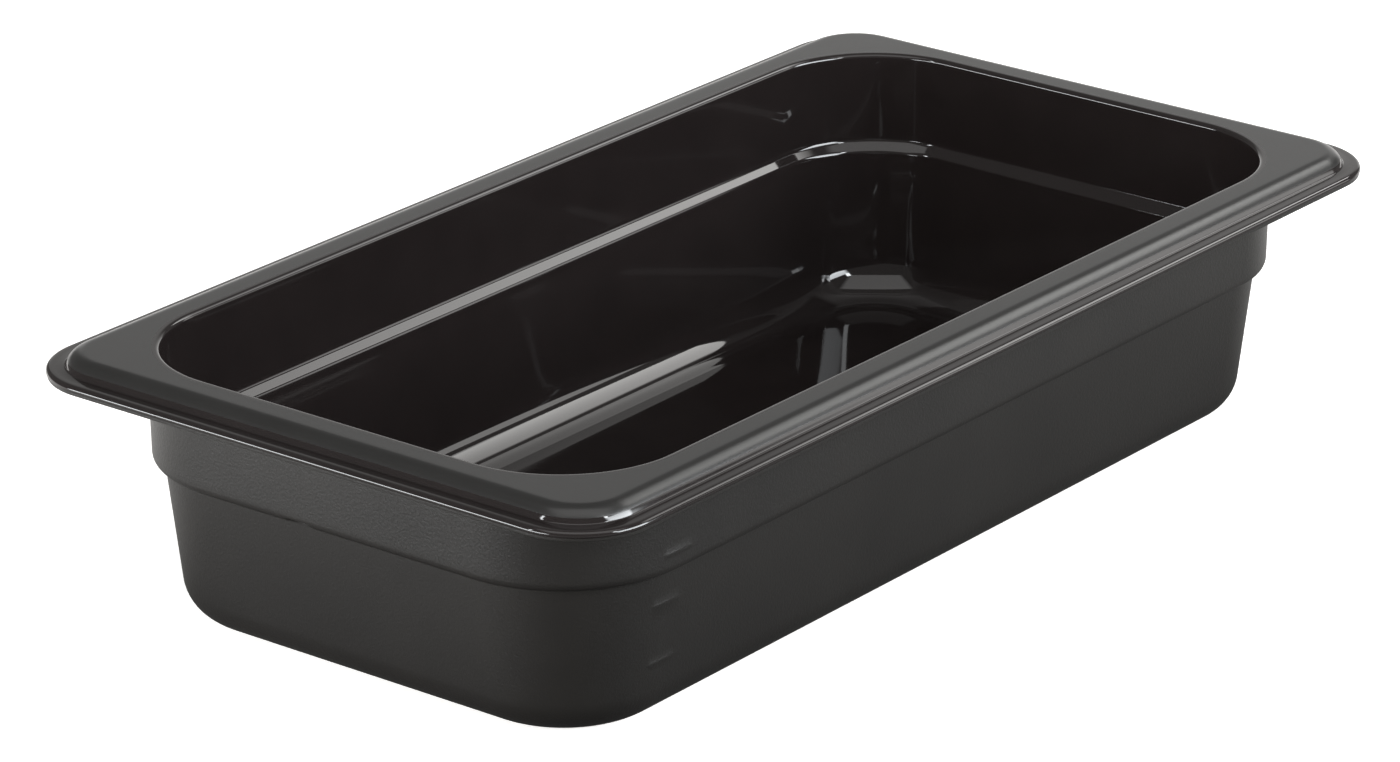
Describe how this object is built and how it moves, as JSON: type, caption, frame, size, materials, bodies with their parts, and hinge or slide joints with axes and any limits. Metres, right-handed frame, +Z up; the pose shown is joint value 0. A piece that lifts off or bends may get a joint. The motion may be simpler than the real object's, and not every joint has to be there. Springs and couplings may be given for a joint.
{
  "type": "food pan",
  "caption": "Shallow one-piece gastronorm 1/3 food pan in black plastic, with a stepped hanging rim, a stacking shoulder and rounded corners.",
  "frame": {"origin": "centre of the base, on the plane that the pan stands on", "axes": "+Z up, +X along the length, +Y along the width"},
  "size_m": [0.325, 0.176, 0.068],
  "materials": {
    "polycarbonate": "glossy inside and on the rim, satin outside"
  },
  "bodies": {
    "root": {"pan": "polycarbonate"}
  },
  "joints": []
}
